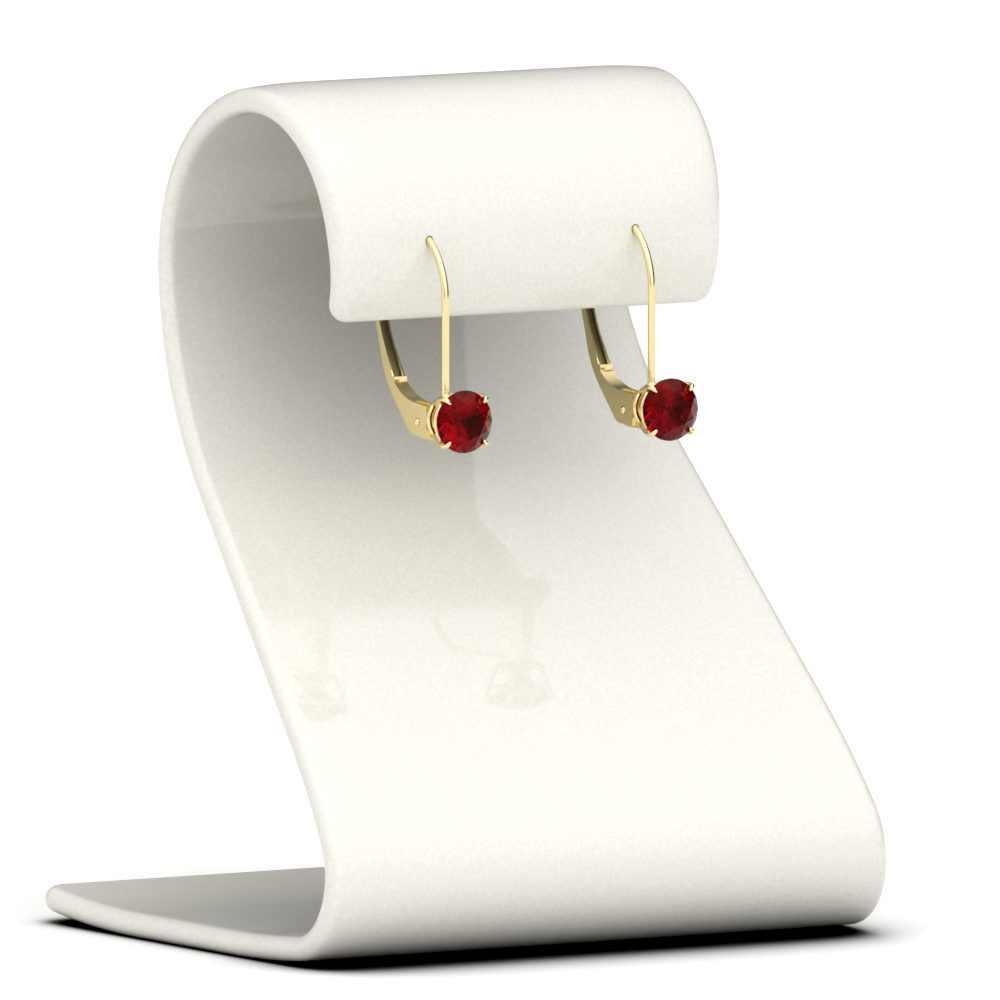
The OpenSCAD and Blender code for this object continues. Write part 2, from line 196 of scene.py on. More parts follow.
# Shared shader effects
peelLook = {
    "pebbleDetail": 2.0,
    "swellShare": 0.12,
    "swellDetail": 1.0,
    "depth": 0.02,
}


def makeOrangePeel(look):
    # Fine pebbling of a moulded or polished sheet, with a slow swell under it
    group, ins, outs = newGroup(
        "orangePeel", {"Pebble Size": 900.0, "Height": 0.1}, ("Normal", "NodeSocketVector")
    )
    size = ins["Pebble Size"]
    pebbles = noiseNode(group, size, look["pebbleDetail"])
    swellSize = mathNode(group, "MULTIPLY", size, look["swellShare"])
    swell = noiseNode(group, swellSize, look["swellDetail"])
    bump = group.nodes.new("ShaderNodeBump")
    bump.inputs["Distance"].default_value = look["depth"] * mm
    feed(group, bump.inputs["Strength"], ins["Height"])
    feed(group, bump.inputs["Height"], mathNode(group, "ADD", pebbles, swell))
    feed(group, outs["Normal"], bump.outputs["Normal"])
    return group


patchLook = {
    "detail": 2.0,
    "span": (0.38, 0.62),
}


def makePatches(look):
    # Slow soft patches between a low and a high value, for colours and for wear
    group, ins, outs = newGroup(
        "softPatches", {"Size": 500.0, "Low": 0.0, "High": 1.0}, ("Value", "NodeSocketFloat")
    )
    patches = noiseNode(group, ins["Size"], look["detail"])
    feed(group, outs["Value"], rangeNode(group, patches, look["span"], ins["Low"], ins["High"]))
    return group


orangePeel = makeOrangePeel(peelLook)
softPatches = makePatches(patchLook)


# Materials
def startMaterial(name):
    material = bpy.data.materials.new(name)
    material.use_nodes = True
    shader = material.node_tree.nodes["Principled BSDF"]
    return material, material.node_tree, shader.inputs


acrylicLook = {
    "color": (0.70, 0.686, 0.625),
    "roughness": 0.025,
    "ior": 1.49,
    "pebbleSize": 2200.0,
    "pebbleHeight": 0.08,
    "speckSize": 3600.0,
    "speck": 0.032,
    # Painted shade in the sheet's own hollows: the occlusion's reach, the openness span, the lowest
    # share of the colour and the samples.
    "paintedShadeReach": 30.0,
    "paintedShadeRange": (0.2, 0.9),
    "paintedShadeLow": 0.45,
    "paintedShadeSamples": 8,
}


def makeAcrylic(look):
    material, tree, shader = startMaterial("whiteAcrylic")
    shader["Roughness"].default_value = look["roughness"]
    shader["IOR"].default_value = look["ior"]
    low, high = 1 - look["speck"], 1 + look["speck"]
    specks = placeGroup(tree, softPatches, Size=look["speckSize"], Low=low, High=high)
    # Painted shade: an occlusion term darkens the sheet's base colour in its own hollows, down to a
    # set share of its open tone.
    shadeProbe = tree.nodes.new("ShaderNodeAmbientOcclusion")
    shadeProbe.only_local = True
    shadeProbe.samples = look["paintedShadeSamples"]
    shadeProbe.inputs["Distance"].default_value = look["paintedShadeReach"] * mm
    openness = shadeProbe.outputs["AO"]
    paintedShadeTone = rangeNode(tree, openness, look["paintedShadeRange"], look["paintedShadeLow"], curve="LINEAR")
    tint = tree.nodes.new("ShaderNodeVectorMath")
    tint.operation = "SCALE"
    tint.inputs[0].default_value = look["color"]
    feed(tree, tint.inputs["Scale"], mathNode(tree, "MULTIPLY", specks.outputs["Value"], paintedShadeTone))
    feed(tree, shader["Base Color"], tint.outputs["Vector"])
    peel = placeGroup(tree, orangePeel, Pebble_Size=look["pebbleSize"], Height=look["pebbleHeight"])
    feed(tree, shader["Normal"], peel.outputs["Normal"])
    return material


goldLook = {
    "color": (0.86, 0.71, 0.36, 1),
    "roughness": 0.10,
    "worn": 0.17,
    "wearSize": 900.0,
    "grainSize": 9000.0,
    "grainHeight": 0.03,
}


# The groove's gold is darker than the open gold: partly a duller, unpolished finish and partly
# painted shade in the recess.
grooveDullAndShadedLook = {
    "color": (0.27, 0.23, 0.12, 1),
    "roughness": 0.45,
    "worn": 0.55,
    "wearSize": 1500.0,
    "grainSize": 9000.0,
    "grainHeight": 0.05,
}


def makeGold(name, look):
    material, tree, shader = startMaterial(name)
    shader["Base Color"].default_value = look["color"]
    shader["Metallic"].default_value = 1.0
    smooth, worn = look["roughness"], look["worn"]
    wear = placeGroup(tree, softPatches, Size=look["wearSize"], Low=smooth, High=worn)
    feed(tree, shader["Roughness"], wear.outputs["Value"])
    grain = placeGroup(tree, orangePeel, Pebble_Size=look["grainSize"], Height=look["grainHeight"])
    feed(tree, shader["Normal"], grain.outputs["Normal"])
    return material


garnetLook = {
    "darkColor": (0.03, 0.0, 0.0006, 1),
    "color": (0.2, 0.0, 0.003, 1),
    "patchSize": 700.0,
    "ior": 1.79,
    "reflection": (0.20, 0.04, 0.03, 1),
}


def makeGarnet(look):
    material, tree, shader = startMaterial("redGarnet")
    patches = placeGroup(tree, softPatches, Size=look["patchSize"]).outputs["Value"]
    reds = mixNode(tree, "RGBA", patches, look["darkColor"], look["color"])
    feed(tree, shader["Base Color"], reds)
    shader["Roughness"].default_value = 0.0
    shader["IOR"].default_value = look["ior"]
    shader["Transmission Weight"].default_value = 1.0
    shader["Specular Tint"].default_value = look["reflection"]
    return material


acrylic = makeAcrylic(acrylicLook)
gold = makeGold("paleGold", goldLook)
dullAndShadedGrooveGold = makeGold("dullShadedGrooveGold", grooveDullAndShadedLook)
garnet = makeGarnet(garnetLook)
print("materials made")


# Geometry node trees
def newTree(name, inputs, output):
    tree = bpy.data.node_groups.new(name, "GeometryNodeTree")
    for label, kind in inputs:
        tree.interface.new_socket(label, in_out="INPUT", socket_type="NodeSocket" + kind)
    tree.interface.new_socket(output, in_out="OUTPUT", socket_type="NodeSocketGeometry")
    return tree, tree.nodes.new("NodeGroupInput").outputs


def endTree(tree, shape, material):
    whole = tree.nodes.new("GeometryNodeRealizeInstances")
    paint = tree.nodes.new("GeometryNodeSetMaterial")
    feed(tree, whole.inputs[0], shape)
    feed(tree, paint.inputs["Geometry"], whole.outputs[0])
    feed(tree, paint.inputs["Material"], material)
    feed(tree, tree.nodes.new("NodeGroupOutput").inputs[0], paint.outputs[0])


def runTree(obj, tree, **values):
    run = obj.modifiers.new(tree.name, "NODES")
    run.node_group = tree
    for item in tree.interface.items_tree:
        key = item.name.replace(" ", "_")
        if item.in_out == "INPUT" and key in values:
            run[item.identifier] = values[key]


def bendTree():
    # Lays a flat sheet along a path: a point's Y is its distance along, its Z its side of the path.
    tree, ins = newTree(
        "bendSheetAlongPath",
        [
            ("Sheet", "Geometry"), ("Path", "Object"),
            ("Half Thickness", "Float"), ("Material", "Material"),
        ],
        "Sheet",
    )
    add, link = tree.nodes.new, tree.links.new
    path = add("GeometryNodeObjectInfo")
    link(ins["Path"], path.inputs["Object"])
    position = add("GeometryNodeInputPosition")
    parts = add("ShaderNodeSeparateXYZ")
    link(position.outputs[0], parts.inputs[0])
    sample = add("GeometryNodeSampleCurve")
    sample.mode = "LENGTH"
    sample.use_all_curves = False
    link(path.outputs["Geometry"], sample.inputs["Curves"])
    link(parts.outputs["Y"], sample.inputs["Length"])
    spot = add("ShaderNodeSeparateXYZ")
    link(sample.outputs["Position"], spot.inputs[0])
    heading = add("ShaderNodeSeparateXYZ")
    link(sample.outputs["Tangent"], heading.inputs[0])
    up = mathNode(tree, "MULTIPLY", parts.outputs["Z"], ins["Half Thickness"])
    back = mathNode(tree, "MULTIPLY", up, heading.outputs["Z"])
    rise = mathNode(tree, "MULTIPLY", up, heading.outputs["Y"])
    place = add("ShaderNodeCombineXYZ")
    link(parts.outputs["X"], place.inputs["X"])
    link(mathNode(tree, "SUBTRACT", spot.outputs["Y"], back), place.inputs["Y"])
    link(mathNode(tree, "ADD", spot.outputs["Z"], rise), place.inputs["Z"])
    move = add("GeometryNodeSetPosition")
    link(ins["Sheet"], move.inputs["Geometry"])
    link(place.outputs[0], move.inputs["Position"])
    endTree(tree, move.outputs[0], ins["Material"])
    return tree


def barTree():
    # Round bars along a path: each of its points' radius is the bar's radius there.
    tree, ins = newTree(
        "roundBarAlongPath",
        [
            ("Path", "Geometry"), ("Sides", "Int"), ("Width Share", "Float"),
            ("Count", "Int"), ("First Turn", "Float"), ("Material", "Material"),
        ],
        "Bars",
    )
    add, link = tree.nodes.new, tree.links.new
    section = add("GeometryNodeCurvePrimitiveCircle")
    section.inputs["Radius"].default_value = 1.0
    link(ins["Sides"], section.inputs["Resolution"])
    thick = add("GeometryNodeInputRadius")
    bar = add("GeometryNodeCurveToMesh")
    bar.inputs["Fill Caps"].default_value = True
    link(ins["Path"], bar.inputs["Curve"])
    link(section.outputs["Curve"], bar.inputs["Profile Curve"])
    link(thick.outputs[0], bar.inputs["Scale"])
    scale = add("ShaderNodeCombineXYZ")
    scale.inputs["Y"].default_value = 1.0
    scale.inputs["Z"].default_value = 1.0
    link(ins["Width Share"], scale.inputs["X"])
    widen = add("GeometryNodeTransform")
    link(bar.outputs[0], widen.inputs["Geometry"])
    link(scale.outputs[0], widen.inputs["Scale"])
    # Copies turned evenly round the Y axis
    places = add("GeometryNodePoints")
    link(ins["Count"], places.inputs["Count"])
    number = add("GeometryNodeInputIndex")
    step = mathNode(tree, "DIVIDE", 2 * math.pi, ins["Count"])
    turn = mathNode(tree, "MULTIPLY", number.outputs[0], step)
    spin = add("ShaderNodeCombineXYZ")
    link(mathNode(tree, "ADD", turn, ins["First Turn"]), spin.inputs["Y"])
    copies = add("GeometryNodeInstanceOnPoints")
    link(places.outputs[0], copies.inputs["Points"])
    link(widen.outputs[0], copies.inputs["Instance"])
    link(spin.outputs[0], copies.inputs["Rotation"])
    endTree(tree, copies.outputs[0], ins["Material"])
    return tree


sheetBend, roundBars = bendTree(), barTree()

# The stand's sheet is drawn flat, then bent along its profile. Bends are a radius and a turn
# in degrees, left turns positive, and straight stretches a zero and a length, in millimetres.
standSheet = {
    "thickness": 2.0,
    "lipWidth": 34.5,
    "tailWidth": 58.0,
    "lipCorner": 1.6,
    "tailCorner": 2.0,
    "cornerSteps": (8, 16),
    "lipSlope": 120.8,
    "bends": [
        (11.3, -114), (12.1, -112.8), (36.3, -30), (0, 25.9), (60.3, 9.6),
        (5.5, 121.1), (99.5, 5.3), (0, 13.5), (91.8, 8.9),
    ],
    "rollStretches": 3,
    "footStretch": 7,
    "bendStep": 0.5,
    "straightSteps": 12,
    "sideStep": 0.6,
    "rimSteps": 14,
    "smoothAngle": 60,
    # The roll's sheet bends inwards softly beside its side edges. The run is along the sheet.
    "droop": 0.42,
    "droopInsets": (1.6, 2.4, 3.4, 4.6, 6.0),
    "droopRun": (2.0, 8.0, 42.0, 55.0),
}


def profileSpots(look):
    # Points along the middle of the sheet: distance, y, z and heading
    s, y, z, heading = 0.0, 0.0, 0.0, look["lipSlope"]
    spots = [(s, y, z, heading)]
    starts = [0]
    for radius, turn in look["bends"]:
        count = max(2, math.ceil(abs(turn) / look["bendStep"])) if radius else look["straightSteps"]
        for _ in range(count):
            if radius == 0:
                part = turn / count
                y += part * math.cos(math.radians(heading))
                z += part * math.sin(math.radians(heading))
                s += part
            else:
                r = math.copysign(radius, turn)
                after = heading + turn / count
                y += r * (math.sin(math.radians(after)) - math.sin(math.radians(heading)))
                z -= r * (math.cos(math.radians(after)) - math.cos(math.radians(heading)))
                s += radius * math.radians(abs(turn) / count)
                heading = after
            spots.append((s, y, z, heading))
        starts.append(len(spots) - 1)
    return spots, starts


def flatOutline(look, length):
    # Right half of the outline: across, along, and the way out of the edge
    lip, tail = look["lipWidth"], look["tailWidth"]
    taper = math.atan((tail - lip) / 2 / length)

    def halfWidth(s):
        return (lip + (tail - lip) * s / length) / 2

    def corner(radius, middle, angle):
        x = halfWidth(middle) - radius / math.cos(taper)
        c, d = math.cos(angle), math.sin(angle)
        return (x + radius * c, middle + radius * d, c, d)

    lipR, tailR = look["lipCorner"], look["tailCorner"]
    lipSteps, tailSteps = look["cornerSteps"]
    line = [corner(lipR, lipR, a) for a in evenly(-math.pi / 2, -taper, lipSteps)]
    sideFrom, sideTo = line[-1][1], length - tailR - tailR * math.sin(taper)
    count = int((sideTo - sideFrom) / look["sideStep"])
    for s in evenly(sideFrom, sideTo, count)[1:-1]:
        line.append((halfWidth(s), s, math.cos(taper), -math.sin(taper)))
    line += [corner(tailR, length - tailR, a) for a in evenly(-taper, math.pi / 2, tailSteps)]
    return line


def softStep(value, start, end):
    t = min(max((value - start) / (end - start), 0), 1)
    return t * t * (3 - 2 * t)


def sideDroop(look, s, inset):
    # How far the sheet sinks at a spot, in half thicknesses
    run, reach = look["droopRun"], look["droopInsets"][-1]
    along = softStep(s, run[0], run[1]) * (1 - softStep(s, run[2], run[3]))
    return 2 * look["droop"] / look["thickness"] * along * (1 - inset / reach) ** 2


def flatSheet(look, length):
    # A slab with a fully rounded rim, its faces at plus and minus one
    line = flatOutline(look, length)
    angles = evenly(-math.pi / 2, math.pi / 2, look["rimSteps"])
    half = look["thickness"] / 2
    columns = [(e, 1) for e in line] + [(e, -1) for e in reversed(line)]
    points = []
    for (x, s, nx, ns), side in columns:
        for a in angles:
            inset = half * (1 - math.cos(a))
            height = math.sin(a) - sideDroop(look, s, inset)
            points.append((side * (x - nx * inset), s - ns * inset, height / mm))
    rim, around = len(angles), len(columns)
    faces = []
    for i in range(around):
        here, after = i * rim, (i + 1) % around * rim
        faces += [(here + j, after + j, after + j + 1, here + j + 1) for j in range(rim - 1)]
    # Both faces are rows that run from the right rim to the left one.
    for j, level in ((0, -1), (rim - 1, 1)):
        rows = [[i * rim + j, (around - 1 - i) * rim + j] for i in range(len(line))]
        for row in rows[1:-1]:
            x, s, _ = points[row[0]]
            for inset in look["droopInsets"]:
                height = level - sideDroop(look, s, inset)
                for side in (1, -1):
                    row.insert((len(row) + 1) // 2, len(points))
                    points.append((side * (x - inset + half), s, height / mm))
        faces += [(*rows[0], *reversed(rows[1])), (*rows[-2], *reversed(rows[-1]))]
        for near, far in zip(rows[1:-2], rows[2:-1]):
            faces += [(near[i], far[i], far[i + 1], near[i + 1]) for i in range(len(near) - 1)]
    return meshFrom("standSheet", points, faces)


def makeStand(look):
    spots, starts = profileSpots(look)
    half = look["thickness"] / 2
    low = spots[starts[look["footStretch"]]][2] - half
    rollBack = max(p[1] for p in spots[:starts[look["rollStretches"]]]) + half
    middle = (min(p[1] for p in spots) - half + max(rollBack, spots[-1][1])) / 2
    path = polyPath("standProfile", [(y - middle, z - low, half) for _, y, z, _ in spots])
    sheet = flatSheet(look, spots[-1][0])
    runTree(sheet, sheetBend, Path=path, Half_Thickness=half * mm, Material=acrylic)
    plainMesh(sheet)
    outward(sheet)
    removeObject(path)
    smoothShade(sheet, look["smoothAngle"])
    return sheet


# Every earring has its own zero at the middle of its stone's girdle.
earring = {
    "pointBehindGirdle": 2.225,
    "crookAt": (8.445, 9.3),
    "crookRadius": 5.4,
    "wireDiameter": 0.6,
    "holeRoom": 0.06,
    "holeSides": 24,
    "holeSteps": 60,
}


def earringZero(side):
    low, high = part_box(side + "_stone")
    y = high.y - earring["pointBehindGirdle"] * mm
    return Vector(((low.x + high.x) / 2, y, (low.z + high.z) / 2))


def crookCutter(side):
    zero = earringZero(side) / mm
    radius = earring["wireDiameter"] / 2 + earring["holeRoom"]
    y0, z0 = zero.y + earring["crookAt"][0], zero.z + earring["crookAt"][1]
    around, along = earring["holeSides"], earring["holeSteps"]
    points, faces = [], []
    for turn in evenly(0, math.pi, along):
        for a in evenly(0, 2 * math.pi, around)[:-1]:
            reach = earring["crookRadius"] + radius * math.cos(a)
            x = zero.x + radius * math.sin(a)
            points.append((x, y0 - reach * math.cos(turn), z0 + reach * math.sin(turn)))
    for i in range(along):
        near, far = i * around, (i + 1) * around
        for j in range(around):
            k = (j + 1) % around
            faces.append((near + j, near + k, far + k, far + j))
    faces.append(tuple(range(around)))
    faces.append(tuple(along * around + j for j in reversed(range(around))))
    cutter = meshFrom("crookCutter", points, faces)
    outward(cutter)
    return cutter


def cutHoles(sheet):
    plain = newObject("uncutSheet", sheet.data.copy())
    for side in sides:
        cutter = crookCutter(side)
        cut = sheet.modifiers.new("wireHole", "BOOLEAN")
        cut.operation = "DIFFERENCE"
        cut.solver = "EXACT"
        cut.object = cutter
        plainMesh(sheet)
        removeObject(cutter)
    # The faces round the holes keep the smooth sheet's normals.
    keep = sheet.modifiers.new("keepNormals", "DATA_TRANSFER")
    keep.object = plain
    keep.use_loop_data = True
    keep.data_types_loops = {"CUSTOM_NORMAL"}
    keep.loop_mapping = "POLYINTERP_NEAREST"
    plainMesh(sheet)
    removeObject(plain)


standPiece = makeStand(standSheet)
cutHoles(standPiece)
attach(standPiece, rootBody)
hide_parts("stand")
print("stand made", len(standPiece.data.polygons))

# The hook's metal, in the earring's own frame: y is how far behind the girdle a spot lies, and z
# how far above the stone's axis.
hook = {
    "wireY": 3.045,
    "wireFoot": 1.5,
    "wireSides": 48,
    "straightSteps": 24,
    "crookSteps": 72,
    "flatDepth": 0.08,
    "flatFrom": 2.0,
    "tipRadius": 0.22,
    "tipLength": 0.55,
    "tipSteps": 4,
    "noseSteps": 6,
    "noseEnd": 0.01,
    # A rail's depth behind the girdle and its radius
    "frontRail": (0.74, 2.11),
    "rearRail": (2.545, 1.75),
    "railRadius": 0.23,
    "railSteps": 72,
    "railSides": 24,
    "pivot": (6.495, -0.6),
    "lugRadius": 1.35,
    "lugThickness": 0.5,
    "lugSteps": 24,
    # Two corners of the lug's upper edge: how far behind the wire each lies, and its height as a
    # share of the lug's radius and above the rear rail. Its front sits in the rail by a share too.
    "lugShoulder": (0.6, 0.8),
    "lugStep": (0.3, 0.12),
    "lugInRail": 0.5,
    "edge": 0.05,
    "edgeSteps": 2,
    "edgeAngle": 30,
    # A claw's path: depth behind the girdle, distance from the stone's axis and half thickness
    "claw": [
        (2.62, 1.72, 0.20), (2.10, 2.00, 0.20), (1.45, 2.28, 0.19), (0.74, 2.56, 0.17),
        (0.25, 2.695, 0.145), (-0.10, 2.70, 0.135), (-0.32, 2.64, 0.130), (-0.44, 2.52, 0.120),
        (-0.50, 2.38, 0.105), (-0.52, 2.24, 0.080), (-0.525, 2.15, 0.055), (-0.52, 2.10, 0.020),
    ],
    "clawWidth": 1.55,
    "clawCount": 4,
    "clawTurn": 45,
    "clawSteps": 4,
    "clawSides": 24,
    "smoothAngle": 32,
}


def roundBar(name, points, sides, closed=False, widthShare=1.0, count=1, firstTurn=0.0):
    path = polyPath(name, points, closed)
    runTree(
        path, roundBars, Sides=sides, Width_Share=widthShare,
        Count=count, First_Turn=math.radians(firstTurn), Material=gold,
    )
    mesh = evaluatedMesh(path)
    removeObject(path)
    bar = newObject(name, mesh)
    outward(bar)
    return bar


def wireBar(look):
    y0, foot, (cy, cz) = look["wireY"], look["wireFoot"], earring["crookAt"]
    big, r = earring["crookRadius"], earring["wireDiameter"] / 2
    path = [(y0, z, r) for z in evenly(foot, cz, look["straightSteps"])[:-1]]
    for a in evenly(0, math.pi, look["crookSteps"]):
        path.append((cy - big * math.cos(a), cz + big * math.sin(a), r))
    tip, tipY, tipZ = look["tipRadius"], cy + big, cz - look["tipLength"]
    for k in range(1, look["tipSteps"] + 1):
        part = k / look["tipSteps"]
        path.append((tipY, cz - look["tipLength"] * part, r + (tip - r) * part))
    # A rounded nose, its last point nearly at the tip
    for a in evenly(0, math.pi / 2, look["noseSteps"])[1:]:
        path.append((tipY, tipZ - tip * math.sin(a), max(tip * math.cos(a), look["noseEnd"])))
    wire = roundBar("wire", path, look["wireSides"])
    # The straight wire has a flat front.
    front = (y0 - r + look["flatDepth"]) * mm
    for v in wire.data.vertices:
        if look["flatFrom"] * mm < v.co.z < cz * mm and v.co.y < front:
            v.co.y = front
    return wire


def lugPlate(look):
    # The hinge lug: a plate round the pin that runs forward to the rear rail
    (py, pz), r = look["pivot"], look["lugRadius"]
    railY, railR = look["rearRail"]
    nearY = railY - look["railRadius"] * look["lugInRail"]
    (shoulderY, shoulderShare), (stepY, stepRise) = look["lugShoulder"], look["lugStep"]
    outline = [
        (py + r * math.cos(a), pz + r * math.sin(a))
        for a in evenly(-math.pi / 2, math.pi / 2, look["lugSteps"])
    ]
    outline += [
        (look["wireY"] + shoulderY, r * shoulderShare),
        (look["wireY"] + stepY, railR + stepRise),
        (nearY, railR + stepRise),
        (nearY, -railR),
        (nearY + look["railRadius"], pz - r),
    ]
    h, n = look["lugThickness"] / 2, len(outline)
    points = [(-h, y, z) for y, z in outline] + [(h, y, z) for y, z in outline]
    faces = [tuple(range(n)), tuple(range(n, 2 * n))]
    faces += [(i, (i + 1) % n, n + (i + 1) % n, n + i) for i in range(n)]
    plate = meshFrom("lug", points, faces)
    outward(plate)
    return easeEdges(plate, look, harden=False)


def joined(name, objects):
    # One plain mesh out of several, in the order given
    bm = bmesh.new()
    for obj in objects:
        bm.from_mesh(obj.data)
        removeObject(obj)
    for face in bm.faces:
        face.material_index = 0
    mesh = bpy.data.meshes.new(name)
    bm.to_mesh(mesh)
    bm.free()
    mesh.materials.append(gold)
    return newObject(name, mesh)


def railRing(look, depth, radius):
    turns = evenly(0, 2 * math.pi, look["railSteps"])[:-1]
    path = [(radius * math.cos(a), radius * math.sin(a), look["railRadius"]) for a in turns]
    rail = roundBar("rail", path, look["railSides"], closed=True)
    # The ring is swept in the plane X = 0 and laid across the stone's axis.
    for v in rail.data.vertices:
        v.co = (v.co.y, depth * mm + v.co.x, v.co.z)
    return rail


def smoothLine(points, steps):
    # A smooth line through a few points, with their radii
    line = []
    for i in range(len(points) - 1):
        p0 = Vector(points[max(i - 1, 0)])
        p1, p2 = Vector(points[i]), Vector(points[i + 1])
        p3 = Vector(points[min(i + 2, len(points) - 1)])
        for k in range(steps):
            t = k / steps
            line.append(tuple(0.5 * (
                2 * p1 + (p2 - p0) * t + (2 * p0 - 5 * p1 + 4 * p2 - p3) * t * t
                + (3 * p1 - p0 - 3 * p2 + p3) * t ** 3
            )))
    line.append(points[-1])
    return line


def hookMetal(side, look):
    parts = [wireBar(look), lugPlate(look)]
    parts += [railRing(look, *look["frontRail"]), railRing(look, *look["rearRail"])]
    parts.append(roundBar(
        "claws", smoothLine(look["claw"], look["clawSteps"]), look["clawSides"],
        widthShare=look["clawWidth"], count=look["clawCount"], firstTurn=look["clawTurn"],
    ))
    metal = joined(side + "_ear_hook_metal", parts)
    zero = earringZero(side)
    for v in metal.data.vertices:
        v.co += zero
    outward(metal, merge=False)
    smoothShade(metal, look["smoothAngle"])
    return metal


gem = {
    "radius": 2.5,
    "tableRadius": 1.43,
    "girdle": 0.15,
    "crown": 0.75,
    "pavilion": 2.15,
    "starShare": 0.79,
    "lowerShare": 0.24,
    "arcSteps": 5,
}


def brilliantStone(side, look):
    # A round brilliant, its table to the front, with a truly round girdle that its facets scallop
    big, half, arc = look["radius"], look["girdle"] / 2, look["arcSteps"]
    slope = look["crown"] / (big - look["tableRadius"])
    starR, lowR = big * look["starShare"], big * look["lowerShare"]
    eighth = math.pi / 4
    cosHalf = math.cos(eighth / 2)
    starY = -half - (big - starR * cosHalf) * slope
    lowY = half + look["pavilion"] * (1 - lowR * cosHalf / big)

    def spot(radius, angle, y):
        return Vector((radius * math.sin(angle), y, radius * math.cos(angle)))

    def onPlane(a, b, c, angle):
        # The spot of the girdle's cylinder that lies on the plane of three points
        n = (b - a).cross(c - a)
        q = spot(big, angle, 0)
        return Vector((q.x, a.y - (n.x * (q.x - a.x) + n.z * (q.z - a.z)) / n.y, q.z))

    table = [spot(look["tableRadius"], eighth * i, -half - look["crown"]) for i in range(8)]
    stars = [spot(starR, eighth * (i + 0.5), starY) for i in range(8)]
    lows = [spot(lowR, eighth * (i + 0.5), lowY) for i in range(8)]
    rims = []
    for y, inner in ((-half, stars), (half, lows)):
        for j in range(16):
            a, b = spot(big, eighth / 2 * j, y), spot(big, eighth / 2 * (j + 1), y)
            rims += [onPlane(a, b, inner[j // 2], eighth / 2 * (j + k / arc)) for k in range(arc)]
    points = table + stars + lows + [Vector((0, half + look["pavilion"], 0))] + rims
    starAt, lowAt, culet, rimAt = 8, 16, 24, 25
    count = 16 * arc
    upper = [rimAt + k % count for k in range(count + 1)]
    lower = [rimAt + count + k % count for k in range(count + 1)]
    faces = [tuple(range(8))]
    for i in range(8):
        before, corner = (i + 7) % 8, 2 * i * arc
        faces.append((i, (i + 1) % 8, starAt + i))
        faces.append((i, starAt + i, upper[corner], starAt + before))
        faces.append((culet, lowAt + i, lower[corner], lowAt + before))
    for j in range(16):
        part = range(j * arc, (j + 1) * arc + 1)
        faces.append((starAt + j // 2, *(upper[k] for k in part)))
        faces.append((lowAt + j // 2, *(lower[k] for k in part)))
    faces += [(upper[k], upper[k + 1], lower[k + 1], lower[k]) for k in range(count)]
    stone = meshFrom(side + "_garnet", [p + earringZero(side) / mm for p in points], faces)
    outward(stone)
    stone.data.materials.append(garnet)
    return stone


lever = {
    "edge": 0.07,
    "edgeSteps": 2,
    "edgeAngle": 28,
    "flatAngle": 0.6,
    "smoothAngle": 20,
    "grooveHalfWidth": 0.312,
    "grooveFrom": 2.3,
}


def leverMetal(side, look):
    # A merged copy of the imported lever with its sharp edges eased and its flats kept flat
    mesh = nodes[side + "_lever"].data.copy()
    mesh.materials.clear()
    mesh.materials.append(gold)
    mesh.materials.append(dullAndShadedGrooveGold)
    obj = newObject(side + "_lever_metal", mesh)
    bm = bmesh.new()
    bm.from_mesh(mesh)
    bmesh.ops.remove_doubles(bm, verts=bm.verts, dist=weldReach)
    flat = math.radians(look["flatAngle"])
    bmesh.ops.dissolve_limit(bm, angle_limit=flat, verts=bm.verts, edges=bm.edges)
    # The groove that takes the wire's tip gets a darker, rougher gold: partly an unpolished finish
    # and partly painted shade in the recess.
    zero = earringZero(side)
    for face in bm.faces:
        spots = [v.co - zero for v in face.verts]
        inside = max(abs(p.x) for p in spots) < look["grooveHalfWidth"] * mm
        face.material_index = int(inside and min(p.z for p in spots) > look["grooveFrom"] * mm)
    bm.to_mesh(mesh)
    bm.free()
    smoothShade(obj, look["smoothAngle"])
    return easeEdges(obj, look, harden=True)


for side, leverBody in sides.items():
    metal, leverPiece = hookMetal(side, hook), leverMetal(side, lever)
    stone = brilliantStone(side, gem)
    for piece, node, body, slot in (
        (metal, "_ear_hook", rootBody, "gold"),
        (leverPiece, "_lever", leverBody, "gold"),
        (stone, "_stone", rootBody, "stone"),
    ):
        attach(piece, body)
        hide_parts(side + node)
    pin = nodes[side + "_hinge_pin"]
    pin.data.materials.clear()
    pin.data.materials.append(gold)
print("earrings made")

# Floor, light and camera
studio = {
    "floorHalf": 6.0,
    "floorRoughness": 0.9,
    "floorSeen": 0.965,
    "floorBounce": 0.97,
    # Painted shadow on the floor round the stand: how far the occlusion reaches, and the openness
    # over which it fades out.
    "paintedShadowReach": 16.0,
    "paintedShadowFade": (0.31, 1.0),
    "seenWhite": 1.0,
    "cameraTurn": -29.216,
    "cameraRise": 6.2,
    "pixelsPerMm": 12.5,
    "zeroPixel": (481.05, 927.8),
    "imageSide": 1000,
    "distance": 3.0,
    "clip": (0.1, 30.0),
    "sensor": 36.0,
}


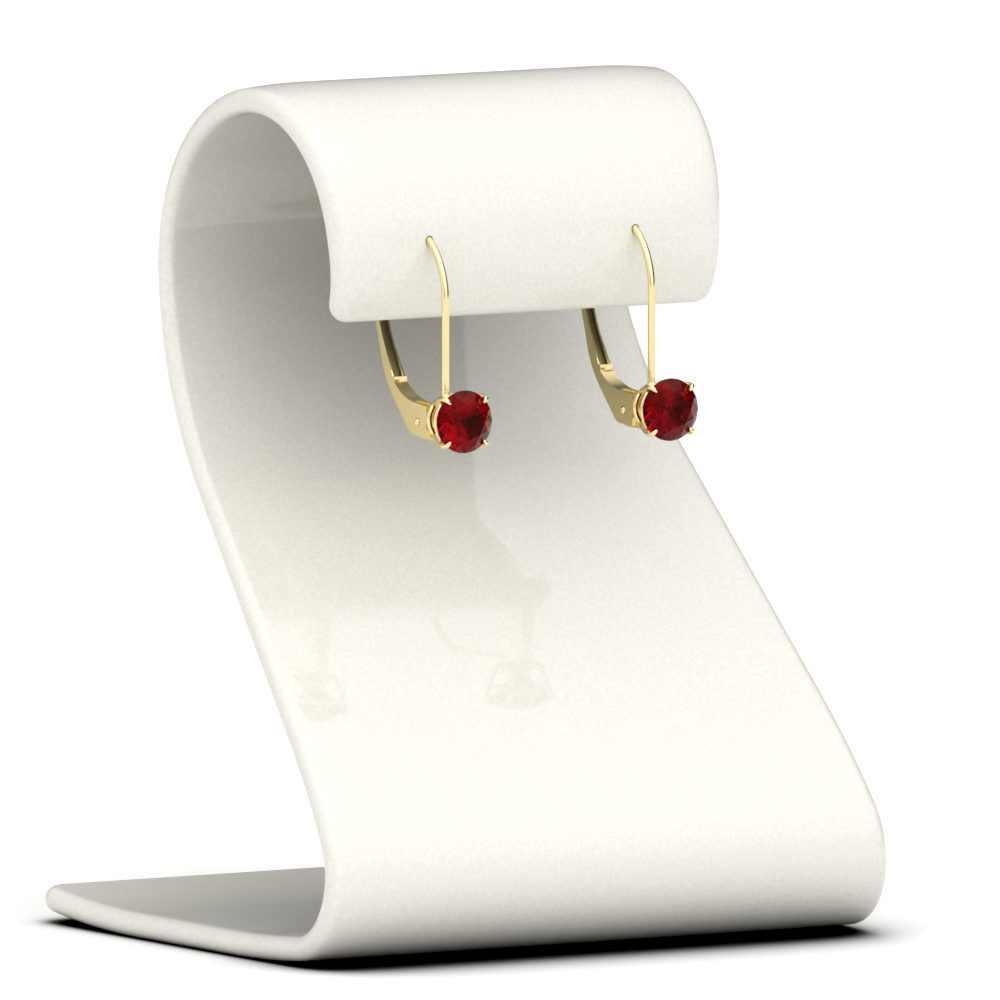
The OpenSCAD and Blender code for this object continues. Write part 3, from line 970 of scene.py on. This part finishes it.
def makeFloor(look):
    h = look["floorHalf"] / mm
    floor = meshFrom("floor", [(-h, -h, 0), (h, -h, 0), (h, h, 0), (-h, h, 0)], [(0, 1, 2, 3)])
    material, tree, shader = startMaterial("paleFloor")
    shader["Roughness"].default_value = look["floorRoughness"]
    shader["Specular IOR Level"].default_value = 0.0
    # One white is for the floor as seen or mirrored, the other for the light that it bounces.
    rays = tree.nodes.new("ShaderNodeLightPath").outputs
    seen = mathNode(tree, "MAXIMUM", rays["Is Camera Ray"], rays["Is Glossy Ray"])
    white = mixNode(tree, "FLOAT", seen, look["floorBounce"], look["floorSeen"])
    # Painted shadow: an occlusion term darkens the floor's colour where it meets the stand.
    shadowProbe = tree.nodes.new("ShaderNodeAmbientOcclusion")
    shadowProbe.inputs["Distance"].default_value = look["paintedShadowReach"] * mm
    paintedShadowTone = rangeNode(tree, shadowProbe.outputs["AO"], look["paintedShadowFade"])
    feed(tree, shader["Base Color"], mathNode(tree, "MULTIPLY", white, paintedShadowTone))
    floor.data.materials.append(material)


# The room's light as seen from the object: broad soft lamps, each a wide fading patch of sky
room = {
    "edge": 0.45,
    "inMirrors": 1.15,
    "lamps": [
        {"name": "overhead", "toward": (0.0, 0.0, 1.0), "gain": 1.15},
        {"name": "front above", "toward": (0.0, -0.7, 0.7), "gain": 1.45},
        {"name": "front", "toward": (0.0, -1.0, 0.05), "gain": 0.5},
        {"name": "left", "toward": (-1.0, 0.2, 0.25), "gain": 0.98},
        {"name": "back", "toward": (0.0, 1.0, 0.05), "gain": 0.22},
    ],
}


def makeWorld(look):
    world = bpy.data.worlds.new("studioWorld")
    bpy.context.scene.world = world
    world.use_nodes = True
    tree = world.node_tree
    sky = tree.nodes["Background"].inputs
    sky["Color"].default_value = (1, 1, 1, 1)
    toward = tree.nodes.new("ShaderNodeTexCoord").outputs["Generated"]
    light = 0.0
    for lamp in look["lamps"]:
        aim = tree.nodes.new("ShaderNodeVectorMath")
        aim.operation = "DOT_PRODUCT"
        aim.label = lamp["name"]
        aim.inputs[1].default_value = Vector(lamp["toward"]).normalized()
        feed(tree, aim.inputs[0], toward)
        patch = rangeNode(tree, aim.outputs["Value"], (look["edge"], 1.0), high=lamp["gain"])
        light = mathNode(tree, "ADD", light, patch)
    # Mirror-like reflections see the lamps a little brighter than matt surfaces do.
    rays = tree.nodes.new("ShaderNodeLightPath").outputs
    mirror = mathNode(tree, "MULTIPLY", rays["Is Glossy Ray"], look["inMirrors"] - 1)
    light = mathNode(tree, "MULTIPLY", light, mathNode(tree, "ADD", mirror, 1.0))
    seen = mixNode(tree, "FLOAT", rays["Is Camera Ray"], light, studio["seenWhite"])
    feed(tree, sky["Strength"], seen)


def makeCamera(look):
    turn, rise = math.radians(look["cameraTurn"]), math.radians(look["cameraRise"])
    level = math.cos(rise)
    right = Vector((math.cos(turn), math.sin(turn), 0))
    forward = Vector((-math.sin(turn) * level, math.cos(turn) * level, -math.sin(rise)))
    up = right.cross(forward)
    middle = look["imageSide"] / 2
    u0, v0 = look["zeroPixel"]
    scale = look["pixelsPerMm"]
    target = (right * (middle - u0) + up * (v0 - middle)) / scale * mm
    camera = bpy.data.cameras.new("photoCamera")
    camera.sensor_width = look["sensor"]
    camera.sensor_fit = "HORIZONTAL"
    camera.lens = look["sensor"] * look["distance"] / (look["imageSide"] / scale * mm)
    camera.clip_start, camera.clip_end = look["clip"]
    obj = newObject("photoCamera", camera)
    facing = Matrix((right, up, -forward)).transposed()
    obj.matrix_world = Matrix.Translation(target - forward * look["distance"]) @ facing.to_4x4()
    bpy.context.scene.camera = obj


makeFloor(studio)
makeWorld(room)
makeCamera(studio)
bpy.context.scene.view_settings.view_transform = "Standard"
print("studio made")
